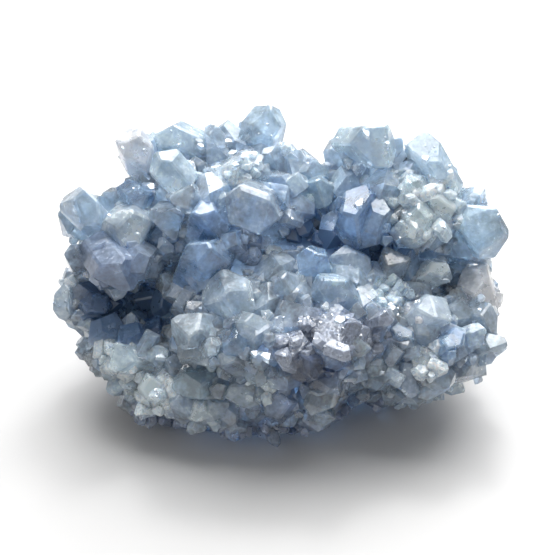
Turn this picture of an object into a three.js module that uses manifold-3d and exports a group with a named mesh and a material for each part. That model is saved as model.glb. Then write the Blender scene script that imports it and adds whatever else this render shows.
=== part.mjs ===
// A celestite crystal cluster, in millimetres, with +Z up. It is one natural piece: a lumpy mass of
// intergrown celestite, broken off flat underneath, with blocky blue crystals standing out of it all round.
// The model's origin is the middle of the footprint, on the plane that the cluster rests on.
import * as THREE from "three";
import { ConvexGeometry } from "three/addons/geometries/ConvexGeometry.js";
import { ImprovedNoise } from "three/addons/math/ImprovedNoise.js";
import { mergeVertices } from "three/addons/utils/BufferGeometryUtils.js";
import Module from "manifold-3d";

const wasm = await Module();
wasm.setup();

// Celestite's unit cell, in angstroms. The angles between all crystal faces follow from it.
const CELL = { a: 8.359, b: 5.352, c: 6.866 };

// The front view that the crystals are placed in: a picture 555 units square, seen from in front and above.
const PICTURE = 555;
const MM_PER_UNIT = 0.267;
const VIEW_RISE = THREE.MathUtils.degToRad(32);
const VIEW_DISTANCE = 300;
const VIEW_TARGET = new THREE.Vector3(-1, 0, 35.5);

// The mass under the crystals is a union of lumps, less the hollows. Each is an ellipsoid: centre, then radii.
const LUMP_ROUGHNESS = 2;
const NOISE_SPAN = 11;
const FINER_LUMPS_ABOVE = 46;
const LUMPS = {
  mainMass: [0, 8, 22.5, 48, 31, 24],
  upperLeftRidge: [-16, 18, 49, 29, 19, 14],
  upperRightCrown: [29, 16, 50, 20, 17, 13],
  rightBulge: [35, -6, 23, 20, 21, 13],
  frontShelf: [3, -17, 29, 29, 13, 12],
  leftLedge: [-43, 0, 42, 13, 11, 6],
  leftRim: [-37, 0, 24, 18, 19, 14],
  frontFoot: [-10, -11, 12, 33, 19, 14],
  backSlope: [0, 20, 34, 45, 17, 17],
};
const HOLLOWS = {
  leftCavity: [-37, -13, 33, 16, 14, 8],
  leftCavityDepth: [-34, -3, 30, 14, 13, 8],
  rightCleft: [19, -6, 48.5, 18, 11, 4],
};
const FOOTPRINT_HEIGHT = 1.5;

// Crystals grown over the parts that the list of seen crystals leaves bare.
const SCATTER_TRIES = 4000;
const SCATTER_CENTRE = new THREE.Vector3(0, 4, 30);
const CROWDING = 0.93;
const BARE_BELOW = { front: 16, back: 24 };

// Crystals wider than these have the two broad faces and have their corners cut.
const BROAD_FACED_ABOVE = 10.8;
const CORNERED_ABOVE = 13.5;

// The crystals that stand out from the front, by where the middle of each shows in the picture:
// [across, down], width, height above the mass, [rightwards, upwards, towards the viewer], turn in degrees
// and, for a crystal with a flat end, the share of its height where the end is cut off.
const SEEN = {
  // The upper left crown, from the left end along the ridge and then down its face.
  farLeftBlock: [[76, 211], 15, 11, [-0.6, 0.1, 0.8], 20, 0.65],
  shoulderBack: [[108, 194], 10.5, 6, [-0.4, 0.6, 0.7], 50],
  leftShoulder: [[137, 192], 11, 6, [-0.3, 0.3, 0.9], 40],
  leftPaleRound: [[129, 225], 13, 8, [-0.2, -0.1, 0.97], 60, 0.65],
  topLeftTooth: [[140, 147], 11, 12.5, [-0.5, 0.7, 0.5], 10, 0.8],
  ridgeFirst: [[171, 141], 10.5, 8.5, [-0.2, 0.88, 0.45], 0],
  ridgeSecond: [[193, 137], 11.5, 9.5, [-0.05, 0.88, 0.45], 30],
  ridgeGap: [[213, 140], 8, 7, [0, 0.9, 0.4], 60],
  ridgeThird: [[229, 129], 7, 8.5, [0, 0.95, 0.3], 15],
  ridgeFourth: [[250, 138], 10, 7, [0.1, 0.85, 0.5], 70],
  paleBackPoint: [[259, 126], 12, 12.5, [0.15, 0.97, -0.2], 25, 0.85],
  ridgeRight: [[274, 150], 9, 7.5, [0.3, 0.75, 0.55], 35],
  ridgeSlope: [[292, 155], 8.5, 7, [0.3, 0.85, 0.45], 5],
  dipCrystal: [[309, 165], 8.5, 7, [0.1, 0.85, 0.5], 30],
  ridgeFace: [[175, 174], 13.5, 7, [-0.1, 0.3, 0.95], 50, 0.7],
  ridgeGrainy: [[237, 163], 14.5, 7.5, [0.05, 0.4, 0.9], 40],
  slopeFace: [[272, 175], 11, 5.5, [0.15, 0.4, 0.9], 10],
  slopeEnd: [[294, 180], 10, 5.5, [0.3, 0.4, 0.85], 60],
  underRidge: [[208, 190], 13.5, 7, [0, 0.2, 0.98], 70],
  greatPaleFace: [[262, 203], 14.5, 9, [0.05, 0, 1], 45, 0.6],
  slopeDusky: [[292, 205], 11.5, 6, [0.15, 0.1, 0.97], 35],
  leftPrism: [[167, 209], 10.5, 8, [-0.05, 0.2, 0.97], 10],
  duskyLeft: [[207, 219], 13, 7.5, [-0.05, -0.05, 1], 20, 0.75],
  overhangGrainy: [[250, 242], 10, 5.5, [0, -0.2, 0.98], 15],
  leftHanging: [[160, 243], 11.5, 7.5, [-0.1, -0.2, 0.96], 35, 0.8],
  // The ledge under it, the rim at the far left and the wall of the hollow.
  leftLedgeOuter: [[97, 260], 11.5, 6.5, [-0.35, -0.25, 0.9], 65, 0.8],
  leftLedgeInner: [[126, 263], 11.5, 7, [-0.15, -0.3, 0.94], 15, 0.8],
  leftKnuckle: [[73, 252], 8, 6.5, [-0.8, 0.1, 0.6], 30],
  leftRimPale: [[69, 286], 7.5, 6, [-0.8, 0.05, 0.6], 50, 0.8],
  leftRimLow: [[68, 308], 6.5, 6, [-0.8, -0.2, 0.55], 75],
  leftRimFront: [[88, 310], 8, 5, [-0.4, -0.1, 0.9], 20],
  leftRimFoot: [[93, 331], 8.5, 5, [-0.6, -0.3, 0.7], 45],
  longBluePrism: [[203, 264], 11, 18, [-0.55, -0.45, 0.7], 10, 0.85],
  bluePrismUpper: [[222, 245], 10.5, 10, [-0.4, -0.3, 0.85], 40],
  cavityFacet: [[176, 305], 10, 6, [-0.5, -0.1, 0.85], 10],
  // The shelf.
  shelfWhite: [[226, 302], 15.5, 8, [-0.1, 0.1, 1], 40, 0.6],
  shelfBlue: [[252, 278], 10.5, 6, [0, 0.4, 0.9], 25],
  shelfMiddle: [[264, 298], 12.5, 6.5, [0.05, 0.2, 0.97], 60],
  shelfPoint: [[277, 262], 10.5, 7, [0.1, 0.4, 0.9], 80],
  shelfPale: [[292, 291], 10.5, 6, [0.1, 0.25, 0.96], 30],
  shelfGlassy: [[312, 268], 10.5, 6.5, [0.1, 0.4, 0.9], 55],
  flatTopped: [[344, 269], 15, 8, [0.05, 0.45, 0.9], 0, 0.6],
  flatToppedRight: [[371, 272], 10, 6, [0.1, 0.3, 0.94], 50],
  shelfRight: [[332, 297], 11, 6, [0.1, 0.1, 1], 50],
  shelfRightLow: [[331, 314], 10, 5, [0, -0.05, 1], 15],
  shelfRightFar: [[358, 300], 11, 5.5, [0.05, 0.1, 1], 70],
  shelfWhiteEdge: [[388, 294], 10.5, 5.5, [0.15, 0.1, 0.98], 35],
  // The upper right crown.
  crownPale: [[320, 191], 13, 7, [-0.2, 0, 0.98], 30, 0.7],
  crownLeft: [[337, 147], 7.5, 9, [-0.25, 0.85, 0.45], 50],
  dipRight: [[323, 167], 8.5, 7, [-0.1, 0.8, 0.6], 50],
  crownGreat: [[363, 144], 12.5, 13, [-0.05, 0.8, 0.6], 20, 0.85],
  crownRight: [[392, 151], 7.5, 7, [0.1, 0.85, 0.5], 10],
  crownSlope: [[411, 160], 9, 6, [0.2, 0.8, 0.55], 35],
  crownPeak: [[439, 168], 11.5, 8.5, [0.25, 0.75, 0.6], 60, 0.8],
  crownMiddle: [[345, 176], 11, 6, [-0.1, 0.3, 0.95], 75],
  crownBelowGreat: [[379, 182], 12.5, 6.5, [0.05, 0.3, 0.94], 40],
  crownGrainy: [[418, 190], 11, 5.5, [0.2, 0.3, 0.93], 5],
  crownGrainyRight: [[446, 196], 11, 5.5, [0.3, 0.2, 0.93], 50],
  steelLeft: [[336, 225], 13, 7.5, [-0.05, -0.1, 1], 25, 0.8],
  steelRight: [[370, 218], 13.5, 8.5, [0.05, -0.05, 1], 70, 0.7],
  greyBrowLeft: [[409, 226], 11, 6, [0.1, -0.05, 1], 0],
  greyBrowRight: [[434, 226], 11, 6, [0.2, -0.05, 0.98], 40],
  greatClearTip: [[476, 226], 17, 15, [0.76, 0.03, 0.65], 15],
  tipAbove: [[474, 189], 5.5, 5, [0.7, 0.6, 0.35], 40],
  rightLedge: [[426, 250], 12.5, 6.5, [0.12, 0, 0.98], 0],
  rightLedgeOuter: [[458, 254], 9, 5.5, [0.4, 0, 0.9], 60],
  // The lower right.
  rightGreyFirst: [[401, 270], 11, 6, [0.1, 0.25, 0.96], 20],
  rightGreySecond: [[424, 272], 10.5, 5.5, [0.2, 0.2, 0.95], 55],
  rightDarkUpper: [[449, 271], 10, 5.5, [0.4, 0.3, 0.87], 10],
  rightRosyTip: [[481, 286], 9.5, 9, [0.8, 0.1, 0.6], 30],
  rightLowTip: [[484, 308], 7.5, 7, [0.85, 0, 0.5], 75],
  rightCheek: [[466, 310], 11, 6, [0.6, 0, 0.8], 0],
  rightBrowUpper: [[412, 293], 10.5, 5.5, [0.15, 0.1, 0.98], 45],
  rightBrow: [[420, 313], 11.5, 6, [0.25, 0, 0.97], 10],
  rightSide: [[484, 340], 7, 6, [0.85, -0.3, 0.4], 20],
  rightDark: [[453, 343], 13.5, 7, [0.45, -0.25, 0.85], 45, 0.8],
  rightMiddle: [[402, 337], 11.5, 6, [0.15, -0.1, 0.98], 20],
  rightMiddleLeft: [[376, 322], 11, 5.5, [0.05, -0.1, 1], 65],
  grainyLump: [[380, 369], 9, 6.5, [0.05, -0.3, 0.95], 35],
  grainyRight: [[428, 360], 9, 5.5, [0.3, -0.4, 0.87], 60],
  lowerEdgeRight: [[440, 376], 8.5, 5, [0.4, -0.6, 0.7], 30],
  lowerEdge: [[412, 391], 8.5, 5, [0.2, -0.7, 0.65], 0],
  lowerEdgeMiddle: [[384, 391], 10.5, 5.5, [0.05, -0.65, 0.75], 50],
  lowerEdgeInner: [[353, 392], 8, 5.5, [0, -0.6, 0.8], 40],
  // The middle of the front.
  centreUpper: [[300, 320], 10.5, 5.5, [0, -0.1, 1], 40],
  paleLeaf: [[253, 330], 10, 5.5, [-0.05, -0.1, 1], 60],
  cavityLip: [[208, 341], 11, 6, [-0.15, 0, 0.98], 40],
  cavityLipUpper: [[199, 321], 8.5, 5.5, [-0.3, 0, 0.95], 10],
  lipRight: [[232, 352], 9, 5, [0, -0.15, 0.98], 0],
  centreFirst: [[262, 352], 10, 5, [0, -0.2, 0.98], 35],
  centreSecond: [[290, 347], 10.5, 5.5, [0, -0.2, 0.98], 75],
  centreThird: [[332, 343], 13, 7, [0, -0.2, 0.98], 20],
  greenBlock: [[200, 379], 14.5, 7.5, [-0.05, -0.2, 0.98], 0, 0.6],
  brightGrain: [[257, 388], 11, 5.5, [0, -0.35, 0.93], 70],
  bladeUpper: [[283, 368], 10.5, 5.5, [0, -0.25, 0.97], 55],
  shellBlade: [[283, 396], 13, 7, [0, -0.4, 0.9], 15, 0.6],
  footTooth: [[316, 393], 8, 6, [0.1, -0.4, 0.9], 50],
  footRight: [[313, 416], 8.5, 5.5, [0.1, -0.7, 0.7], 20],
  footLeft: [[204, 408], 11.5, 6, [-0.1, -0.5, 0.86], 30, 0.75],
  frontToe: [[232, 427], 9, 4.5, [0, -0.8, 0.6], 20],
  frontToeRight: [[268, 427], 9, 4.5, [0, -0.8, 0.6], 50],
  // The lower left.
  leftWhiteUpper: [[122, 337], 11.5, 6, [-0.3, 0.2, 0.92], 60],
  leftWhite: [[135, 354], 11, 5.5, [-0.25, 0.15, 0.95], 20],
  leftWhiteEdge: [[104, 360], 10.5, 5.5, [-0.6, -0.15, 0.78], 10],
  leftWhiteLow: [[130, 384], 10, 5.5, [-0.45, -0.35, 0.8], 55],
  leftWhiteGrain: [[160, 386], 11.5, 6, [-0.15, -0.35, 0.93], 25],
  leftFoot: [[145, 406], 11.5, 6, [-0.3, -0.6, 0.72], 35],
};

// A repeatable source of numbers from 0 to 1.
function randomSource(seed) {
  let state = seed;
  return () => {
    state = (state + 0x6d2b79f5) | 0;
    let t = Math.imul(state ^ (state >>> 15), 1 | state);
    t = (t + Math.imul(t ^ (t >>> 7), 61 | t)) ^ t;
    return ((t ^ (t >>> 14)) >>> 0) / 4294967296;
  };
}
const random = randomSource(20);
const between = (low, high) => low + (high - low) * random();

// Solids and meshes.
function solidOf(geometry) {
  const bare = geometry.clone().deleteAttribute("normal").deleteAttribute("uv");
  const merged = mergeVertices(bare, 1e-4);
  return new wasm.Manifold(
    new wasm.Mesh({
      numProp: 3,
      vertProperties: merged.attributes.position.array,
      triVerts: new Uint32Array(merged.index.array),
    }),
  );
}

function geometryOf(solid) {
  const mesh = solid.getMesh();
  return new THREE.BufferGeometry()
    .setAttribute("position", new THREE.BufferAttribute(mesh.vertProperties, 3))
    .setIndex(new THREE.BufferAttribute(mesh.triVerts, 1));
}

// A lumpy ellipsoid.
function lump([x, y, z, rx, ry, rz]) {
  const noise = new ImprovedNoise();
  const geometry = new THREE.IcosahedronGeometry(1, rx > FINER_LUMPS_ABOVE ? 2 : 1);
  const position = geometry.attributes.position;
  const point = new THREE.Vector3();
  for (let i = 0; i < position.count; i++) {
    point.fromBufferAttribute(position, i);
    const outward = point.clone();
    point.multiply(new THREE.Vector3(rx, ry, rz)).add(new THREE.Vector3(x, y, z));
    const wave = noise.noise(point.x / NOISE_SPAN, point.y / NOISE_SPAN, point.z / NOISE_SPAN);
    point.addScaledVector(outward, 2 * LUMP_ROUGHNESS * wave);
    position.setXYZ(i, point.x, point.y, point.z);
  }
  return solidOf(geometry);
}

function mass() {
  let solid = null;
  for (const sizes of Object.values(LUMPS)) {
    solid = solid ? solid.add(lump(sizes)) : lump(sizes);
  }
  for (const sizes of Object.values(HOLLOWS)) {
    solid = solid.subtract(lump(sizes));
  }
  return solid;
}

// The outward normal of the face with Miller indices h, k and l. A crystal stands along its a axis, so its
// own x, y and z are the cell's b, c and a axes.
function faceNormal(h, k, l) {
  return new THREE.Vector3(k / CELL.b, l / CELL.c, h / CELL.a).normalize();
}

// The corners of the convex body that the planes bound.
function cornersOf(planes) {
  const corners = [];
  const point = new THREE.Vector3();
  for (let i = 0; i < planes.length; i++) {
    for (let j = i + 1; j < planes.length; j++) {
      for (let k = j + 1; k < planes.length; k++) {
        const [p, q, r] = [planes[i], planes[j], planes[k]];
        const volume = p.normal.dot(q.normal.clone().cross(r.normal));
        if (Math.abs(volume) < 1e-6) continue;
        point.set(0, 0, 0);
        point.addScaledVector(q.normal.clone().cross(r.normal), p.distance / volume);
        point.addScaledVector(r.normal.clone().cross(p.normal), q.distance / volume);
        point.addScaledVector(p.normal.clone().cross(q.normal), r.distance / volume);
        if (planes.every((s) => s.normal.dot(point) < s.distance + 1e-6)) corners.push(point.clone());
      }
    }
  }
  return corners;
}

// One crystal standing on its root at the origin: four prism faces and two broad ones, with a blunt
// four-sided tip. Uneven growth moves each face in or out a little. The flat end, where there is one, cuts
// the tip off at its share of the height, and the larger crystals have their corners cut too.
function crystal({ width, height, root, flatEnd }) {
  const uneven = () => between(0.88, 1.1);
  const planes = [];
  const face = (h, k, l, distance) => planes.push({ normal: faceNormal(h, k, l), distance });
  const prism = 0.56 * width * faceNormal(0, 1, 1).x;
  const thickness = width * between(0.7, 1.0);
  for (const side of [1, -1]) {
    face(0, side, 1, prism * uneven());
    face(0, side, -1, prism * uneven());
    if (width > BROAD_FACED_ABOVE) face(0, 0, side, (thickness / 2) * uneven());
    face(2, side, 0, height * faceNormal(2, 1, 0).z * uneven());
    face(1, 0, side, height * faceNormal(1, 0, 1).z * uneven());
  }
  if (flatEnd) face(1, 0, 0, height * flatEnd);
  planes.push({ normal: new THREE.Vector3(0, 0, -1), distance: root });
  if (width > CORNERED_ABOVE) {
    const corners = cornersOf(planes);
    for (const [k, l] of [[1, 1], [1, -1], [-1, 1], [-1, -1]]) {
      const normal = faceNormal(1, k, l);
      const reach = Math.max(...corners.map((corner) => corner.dot(normal)));
      planes.push({ normal, distance: reach * between(0.86, 0.95) });
    }
  }
  return new ConvexGeometry(cornersOf(planes));
}

// A crystal stood at a point of the mass, along a direction, turned about that direction.
function standing(placed) {
  const { seat, along, turn } = placed;
  const geometry = crystal(placed);
  geometry.rotateZ(turn);
  geometry.applyQuaternion(new THREE.Quaternion().setFromUnitVectors(new THREE.Vector3(0, 0, 1), along));
  geometry.translate(seat.x, seat.y, seat.z);
  return solidOf(geometry);
}

// The viewer's frame: x rightwards, y upwards in the picture, z towards the viewer.
const viewer = {
  right: new THREE.Vector3(1, 0, 0),
  up: new THREE.Vector3(0, Math.sin(VIEW_RISE), Math.cos(VIEW_RISE)),
  towards: new THREE.Vector3(0, -Math.cos(VIEW_RISE), Math.sin(VIEW_RISE)),
};
viewer.eye = VIEW_TARGET.clone().addScaledVector(viewer.towards, VIEW_DISTANCE);
const fromViewer = ([x, y, z]) =>
  new THREE.Vector3()
    .addScaledVector(viewer.right, x)
    .addScaledVector(viewer.up, y)
    .addScaledVector(viewer.towards, z)
    .normalize();

// The direction from the eye through a place in the picture.
function sightLine(across, down) {
  return new THREE.Vector3()
    .addScaledVector(viewer.right, (across - PICTURE / 2) * MM_PER_UNIT)
    .addScaledVector(viewer.up, (PICTURE / 2 - down) * MM_PER_UNIT)
    .addScaledVector(viewer.towards, -VIEW_DISTANCE)
    .normalize();
}

const massSolid = mass();
const massMesh = new THREE.Mesh(geometryOf(massSolid), new THREE.MeshBasicMaterial({ side: THREE.DoubleSide }));
const caster = new THREE.Raycaster();
function firstHit(from, along) {
  caster.set(from, along);
  return caster.intersectObject(massMesh)[0];
}

// The seat of a crystal whose middle shows at a place in the picture. Where the sight line to its foot
// passes the mass by, the seat keeps the depth of the nearest part of the mass, and the root grows to reach it.
function seenCrystal([[across, down], width, height, lean, turn, flatEnd]) {
  const along = fromViewer(lean);
  const foot = [
    across - (height / 2 / MM_PER_UNIT) * along.dot(viewer.right),
    down + (height / 2 / MM_PER_UNIT) * along.dot(viewer.up),
  ];
  const steps = 60;
  for (let i = 0; i < steps; i++) {
    const inward = i / steps;
    const line = sightLine(
      THREE.MathUtils.lerp(foot[0], PICTURE / 2, inward),
      THREE.MathUtils.lerp(foot[1], PICTURE / 2, inward),
    );
    const hit = firstHit(viewer.eye, line);
    if (!hit) continue;
    const seat = viewer.eye.clone().addScaledVector(sightLine(...foot), hit.distance);
    const root = 0.55 * width + 1.1 * seat.distanceTo(hit.point);
    return { seat, along, turn: THREE.MathUtils.degToRad(turn), width, height, root, flatEnd };
  }
  throw new Error("a seen crystal has nothing to stand on");
}

// Crystals over the rest of the mass: rays come in evenly from all sides, and a crystal grows where one
// lands if it has room. They are larger behind than in front, and larger above than below.
function scatteredCrystals(taken) {
  const golden = Math.PI * (3 - Math.sqrt(5));
  const grown = [];
  for (let i = 0; i < SCATTER_TRIES; i++) {
    const z = 1 - 2 * ((i * 0.754878) % 1);
    const radius = Math.sqrt(1 - z * z);
    const out = new THREE.Vector3(radius * Math.cos(golden * i), radius * Math.sin(golden * i), z);
    const start = SCATTER_CENTRE.clone().addScaledVector(out, 120);
    const hit = firstHit(start, out.clone().negate());
    const behind = THREE.MathUtils.smoothstep(hit.point.y, -5, 20);
    const above = THREE.MathUtils.smoothstep(hit.point.z, 0, 40);
    const width = between(9, 11.5) + between(3, 6) * behind * above;
    const height = width * between(0.48, 0.62);
    const sloping = new THREE.Vector3(between(-1, 1), between(-1, 1), between(-0.4, 1)).multiplyScalar(0.45);
    const along = hit.face.normal.clone().add(sloping).normalize();
    const bareBelow = THREE.MathUtils.lerp(BARE_BELOW.front, BARE_BELOW.back, behind);
    if (hit.point.z < bareBelow || along.z < -0.2) continue;
    const others = [...taken, ...grown];
    if (others.some((o) => o.seat.distanceTo(hit.point) < CROWDING * (o.width + width) * 0.5)) continue;
    const flatEnd = random() < 0.3 ? between(0.6, 0.8) : undefined;
    grown.push({ seat: hit.point, along, turn: between(0, Math.PI), width, height, root: 0.5 * width, flatEnd });
  }
  return grown;
}

function cluster() {
  const seen = Object.values(SEEN).map(seenCrystal);
  const scattered = scatteredCrystals(seen);
  let solid = massSolid;
  for (const placed of [...seen, ...scattered]) {
    solid = solid.add(standing(placed));
  }
  const ground = new THREE.BoxGeometry(400, 400, 100).translate(0, 0, FOOTPRINT_HEIGHT - 50);
  return solid.subtract(solidOf(ground));
}

// The outer skin alone, so that the pockets that crystals close off inside the mass are filled: the
// connected sheet of triangles that holds the lowest corner.
function outerSkin(geometry) {
  const { array: corners } = geometry.index;
  const group = Array.from({ length: geometry.attributes.position.count }, (_, i) => i);
  const headOf = (i) => {
    while (group[i] !== i) i = group[i] = group[group[i]];
    return i;
  };
  for (let i = 0; i < corners.length; i += 3) {
    group[headOf(corners[i])] = headOf(corners[i + 1]);
    group[headOf(corners[i + 1])] = headOf(corners[i + 2]);
  }
  const position = geometry.attributes.position;
  let lowest = 0;
  for (let i = 1; i < position.count; i++) {
    if (position.getZ(i) < position.getZ(lowest)) lowest = i;
  }
  const kept = [];
  for (let i = 0; i < corners.length; i += 3) {
    if (headOf(corners[i]) === headOf(lowest)) kept.push(corners[i], corners[i + 1], corners[i + 2]);
  }
  return geometry.clone().setIndex(kept);
}

function celestite() {
  return new THREE.MeshStandardMaterial({ color: 0x9fb6cf, roughness: 0.15, metalness: 0 });
}

const geometry = outerSkin(geometryOf(cluster()));
geometry.computeBoundingBox();
const middle = geometry.boundingBox.getCenter(new THREE.Vector3());
geometry.translate(-middle.x, -middle.y, -FOOTPRINT_HEIGHT);

const clusterMesh = new THREE.Mesh(geometry, celestite());
clusterMesh.name = "celestite_cluster";
const part = new THREE.Group();
part.add(clusterMesh);

export default part;
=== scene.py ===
"""A celestite crystal cluster on a pale floor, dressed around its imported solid.

Everything is in metres, in the solid's own frame: +X to the right, +Y to the back, +Z up, resting on z = 0.
"""

from __future__ import annotations

import logging
import math
import random
from dataclasses import dataclass
from enum import Enum

import bpy
import numpy as np
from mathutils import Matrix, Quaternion, Vector
from mathutils.bvhtree import BVHTree
from mathutils.kdtree import KDTree

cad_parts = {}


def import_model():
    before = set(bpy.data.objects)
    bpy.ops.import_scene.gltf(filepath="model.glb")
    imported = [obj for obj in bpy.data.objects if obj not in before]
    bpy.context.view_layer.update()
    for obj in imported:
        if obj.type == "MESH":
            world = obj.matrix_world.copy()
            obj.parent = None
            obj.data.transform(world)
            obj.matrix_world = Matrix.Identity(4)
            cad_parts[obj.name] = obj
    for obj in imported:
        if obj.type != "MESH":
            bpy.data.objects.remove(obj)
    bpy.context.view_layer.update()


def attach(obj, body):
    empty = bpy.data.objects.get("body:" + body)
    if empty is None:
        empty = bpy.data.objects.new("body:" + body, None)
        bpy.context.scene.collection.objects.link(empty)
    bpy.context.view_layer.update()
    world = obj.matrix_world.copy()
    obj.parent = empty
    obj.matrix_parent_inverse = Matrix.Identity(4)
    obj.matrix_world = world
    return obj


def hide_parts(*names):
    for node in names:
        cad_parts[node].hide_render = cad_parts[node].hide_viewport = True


log = logging.getLogger("celestite")

Socket = bpy.types.NodeSocket
Pair = tuple[float, float]
Triple = tuple[float, float, float]
Planes = list[tuple[Vector, float]]  # Each face's outward normal and its distance from the origin.
Model = tuple[np.ndarray, list[tuple[int, ...]]]  # Corners and faces.
Looks = tuple[float, float, Triple]  # How cloudy, how rough, and what the colour is multiplied by.

MM = 0.001
NOISE_SPAN = (0.3, 0.7)  # Nearly all values of a noise pattern lie in it.
NODE = "celestite_cluster"
BODY = "root"


def deselect_all() -> None:
    """Leave object mode's selection empty."""
    bpy.ops.object.select_all(action="DESELECT")


def corners_of(mesh: bpy.types.Mesh) -> np.ndarray:
    """The places of a mesh's vertices, one row each."""
    places = np.empty(len(mesh.vertices) * 3)
    mesh.vertices.foreach_get("co", places)
    return places.reshape(-1, 3)


def write_looks(mesh: bpy.types.Mesh, veils: np.ndarray, frosts: np.ndarray, tints: np.ndarray) -> None:
    """Store at each vertex what the materials read.

    Args:
        mesh: The mesh.
        veils: How cloudy the crystal is.
        frosts: How rough its faces are.
        tints: What its colour is multiplied by, three numbers for each vertex.
    """
    for name, values in (("veil", veils), ("frost", frosts)):
        mesh.attributes.new(name, "FLOAT", "POINT").data.foreach_set("value", values.astype(np.float32))
    mesh.attributes.new("tint", "FLOAT_VECTOR", "POINT").data.foreach_set("vector", tints.ravel())


@dataclass(frozen=True)
class View:
    """The photograph's point of view: in front of the cluster and above it."""

    picture: int = 555
    metres_per_pixel: float = 0.267 * MM
    rise: float = math.radians(32)
    distance: float = 300 * MM
    target: Triple = (-0.66 * MM, -4.348 * MM, 35.5 * MM)
    sensor: float = 36.0
    nearest: float = 10 * MM

    @property
    def towards(self) -> Vector:
        """The direction from the target to the camera."""
        return Vector((0, -math.cos(self.rise), math.sin(self.rise)))

    @property
    def up(self) -> Vector:
        """The direction that is up in the picture."""
        return Vector((0, math.sin(self.rise), math.cos(self.rise)))

    @property
    def eye(self) -> Vector:
        """Where the camera stands."""
        return Vector(self.target) + self.towards * self.distance

    def sight(self, across: float, down: float) -> Vector:
        """The direction from the eye through a place in the picture.

        Args:
            across: Pixels from the picture's left edge.
            down: Pixels from its top edge.

        Returns:
            A unit vector.
        """
        middle = self.picture / 2
        direction = -self.towards * self.distance
        direction += Vector((1, 0, 0)) * (across - middle) * self.metres_per_pixel
        direction += self.up * (middle - down) * self.metres_per_pixel
        return direction.normalized()

    def build(self) -> None:
        """Add the camera and make it the scene's."""
        lens = bpy.data.cameras.new("camera")
        lens.sensor_width = self.sensor
        lens.lens = self.sensor * self.distance / (self.picture * self.metres_per_pixel)
        lens.clip_start = self.nearest
        camera = bpy.data.objects.new("camera", lens)
        camera.location = self.eye
        camera.rotation_euler = (-self.towards).to_track_quat("-Z", "Y").to_euler()
        bpy.context.scene.collection.objects.link(camera)
        bpy.context.scene.camera = camera


class Nodes:
    """Short ways to add and join the nodes of one material."""

    def __init__(self, name: str) -> None:
        """Start an empty material.

        Args:
            name: The material's name.
        """
        self.material = bpy.data.materials.new(name)
        self.material.use_nodes = True
        self.tree = self.material.node_tree
        self.tree.nodes.clear()
        self.output = self.add("ShaderNodeOutputMaterial")

    def add(self, kind: str, **settings: object) -> bpy.types.Node:
        """Add one node.

        Args:
            kind: The node's type.
            settings: Its properties by name, or its inputs by name with spaces as underscores.

        Returns:
            The node.
        """
        node = self.tree.nodes.new(kind)
        for name, value in settings.items():
            if hasattr(node, name):
                setattr(node, name, value)
            else:
                node.inputs[name.replace("_", " ")].default_value = value
        return node

    def link(self, source: Socket, target: Socket) -> None:
        """Join an output to an input."""
        self.tree.links.new(source, target)

    def noise(self, coordinates: Socket, period: float, detail: float) -> Socket:
        """A noise pattern.

        Args:
            coordinates: Where the pattern is read.
            period: The size of its largest features, in metres.
            detail: How many finer layers it has.

        Returns:
            The value.
        """
        node = self.add("ShaderNodeTexNoise", Scale=1 / period, Detail=detail)
        self.link(coordinates, node.inputs["Vector"])
        return node.outputs["Fac"]

    def between(self, value: Socket, span: Pair, result: Pair) -> Socket:
        """A value stretched from one span to another.

        Args:
            value: The value.
            span: The lowest and the highest it is taken to be.
            result: What those two become.

        Returns:
            The stretched value.
        """
        node = self.add("ShaderNodeMapRange")
        node.inputs["From Min"].default_value, node.inputs["From Max"].default_value = span
        node.inputs["To Min"].default_value, node.inputs["To Max"].default_value = result
        self.link(value, node.inputs["Value"])
        return node.outputs["Result"]

    def worked(self, kind: str, operation: str, *values: Socket | float | Triple) -> bpy.types.Node:
        """Add a node that works something out.

        Args:
            kind: The node's type.
            operation: Its operation's name.
            values: What it works on, each a node's output or a constant.

        Returns:
            The node.
        """
        node = self.add(kind, operation=operation)
        for socket, value in zip(node.inputs, values):
            if isinstance(value, Socket):
                self.link(value, socket)
            else:
                socket.default_value = value
        return node

    def maths(self, operation: str, first: Socket, second: Socket | float) -> Socket:
        """Arithmetic on two numbers."""
        return self.worked("ShaderNodeMath", operation, first, second).outputs["Value"]

    def vectors(self, operation: str, first: Socket, second: Socket | Triple) -> Socket:
        """Arithmetic on two vectors."""
        return self.worked("ShaderNodeVectorMath", operation, first, second).outputs["Vector"]

    def scaled(self, vector: Socket, factor: Socket) -> Socket:
        """A vector times a number.

        Args:
            vector: The vector.
            factor: The number.

        Returns:
            The result.
        """
        node = self.worked("ShaderNodeVectorMath", "SCALE", vector)
        self.link(factor, node.inputs["Scale"])
        return node.outputs["Vector"]

    def channel(self, colour: Socket) -> Socket:
        """The red channel of a colour."""
        node = self.add("ShaderNodeSeparateColor")
        self.link(colour, node.inputs["Color"])
        return node.outputs["Red"]

    def tilted(self, cells: Socket, tilt: Socket) -> Socket:
        """The surface's normal, leaning another way in each cell of a pattern, like small facets.

        Args:
            cells: The pattern, with one random colour in each cell.
            tilt: How far the facets lean.

        Returns:
            The normal.
        """
        lean = self.scaled(self.vectors("SUBTRACT", cells, (0.5, 0.5, 0.5)), tilt)
        true = self.add("ShaderNodeNewGeometry").outputs["Normal"]
        leaning = self.vectors("ADD", true, lean)
        return self.worked("ShaderNodeVectorMath", "NORMALIZE", leaning).outputs["Vector"]


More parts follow.
